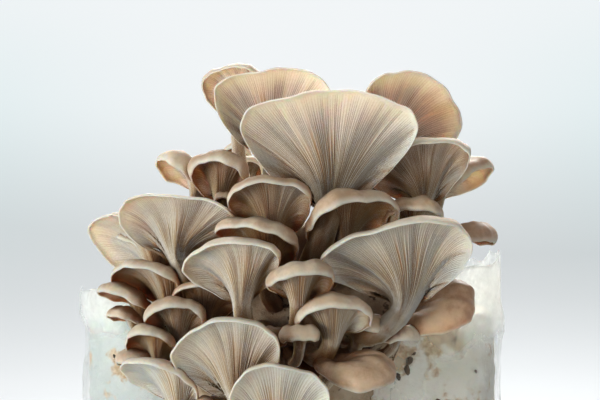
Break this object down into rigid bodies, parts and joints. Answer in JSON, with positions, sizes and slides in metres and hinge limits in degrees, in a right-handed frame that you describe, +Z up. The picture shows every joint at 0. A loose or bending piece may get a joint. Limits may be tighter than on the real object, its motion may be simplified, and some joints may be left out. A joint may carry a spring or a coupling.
{
  "type": "oyster mushroom grow bag",
  "caption": "Clear film bag round a block of colonised substrate, with a dense cluster of fan-shaped oyster mushrooms growing from its upper front edge.",
  "frame": {"origin": "middle of the bag's flat bottom, on the surface that it stands on", "axes": "+Z up, -Y toward the viewer and the way the cluster grows, +X to the viewer's right"},
  "size_m": [0.2029, 0.212, 0.3152],
  "materials": {
    "film": "gloss",
    "substrate": "matte",
    "fused_stems": "matte",
    "mushroom": "satin"
  },
  "bodies": {
    "root": {"bag_film": "film", "substrate_block": "substrate", "cluster_base": "fused_stems", "crown_front": "mushroom", "crown_left": "mushroom", "crown_right": "mushroom", "right_big": "mushroom", "left_big": "mushroom", "middle_left": "mushroom", "lower_left": "mushroom", "lower_front": "mushroom", "upper_right_front": "mushroom", "crown_back": "mushroom", "upper_left_front": "mushroom", "upper_right_low": "mushroom", "left_front": "mushroom", "upper_right_side": "mushroom", "middle_front": "mushroom", "middle_right": "mushroom", "right_brown": "mushroom", "lower_right": "mushroom", "left_top": "mushroom", "left_top_low": "mushroom", "left_second": "mushroom", "lower_left_side": "mushroom", "upper_left_back": "mushroom", "upper_left_side": "mushroom", "right_far": "mushroom", "left_inner": "mushroom", "left_third": "mushroom", "left_middle": "mushroom", "left_low": "mushroom", "left_low_side": "mushroom", "left_fourth": "mushroom", "right_small": "mushroom", "right_small_side": "mushroom", "upper_right_inner": "mushroom", "upper_right_back": "mushroom", "right_behind": "mushroom", "lower_left_small": "mushroom", "young_back_left": "mushroom", "young_back_right": "mushroom", "young_middle": "mushroom", "young_middle_left": "mushroom", "young_upper_right": "mushroom", "young_upper_left": "mushroom", "young_left": "mushroom", "young_low": "mushroom"}
  },
  "joints": []
}
